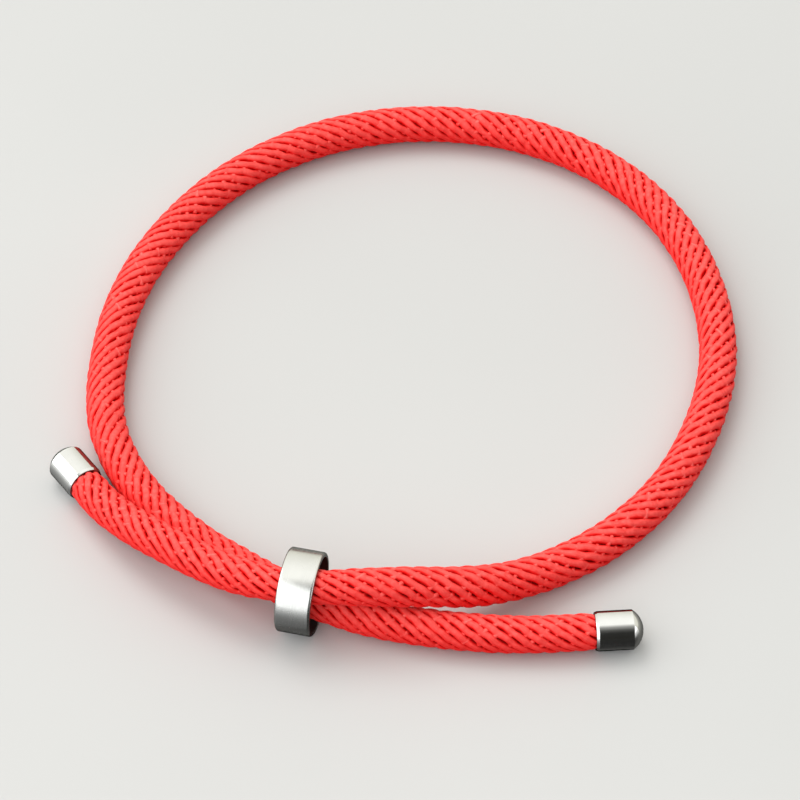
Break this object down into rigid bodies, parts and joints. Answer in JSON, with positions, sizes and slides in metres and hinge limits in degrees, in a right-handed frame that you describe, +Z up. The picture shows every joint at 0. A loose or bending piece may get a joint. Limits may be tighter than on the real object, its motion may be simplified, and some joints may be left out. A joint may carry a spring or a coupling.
{
  "type": "string bracelet",
  "caption": "Adjustable string bracelet: a round woven red cord whose stretches cross inside a steel slider ring and end in polished steel caps, lying open on a flat surface.",
  "frame": {"origin": "centre of the footprint's bounding box, on the surface that the bracelet lies on", "axes": "+Z up from the surface; seen from the picture's side, +X to the right and +Y away from the viewer, with the slider ring and both tails at the -Y side of the loop"},
  "size_m": [0.0699, 0.0749, 0.0083],
  "materials": {
    "cord_yarn": "matt red polyester yarn, woven into thick slanting ribs held by fine crossing threads",
    "polished_steel": "mirror-polished stainless steel with hairline wear",
    "satin_steel": "polished stainless steel, slightly satin, with hairline wear round the ring"
  },
  "bodies": {
    "root": {"cord": "cord_yarn", "end_cap_left": "polished_steel", "end_cap_right": "polished_steel", "slider_ring": "satin_steel"}
  },
  "joints": []
}
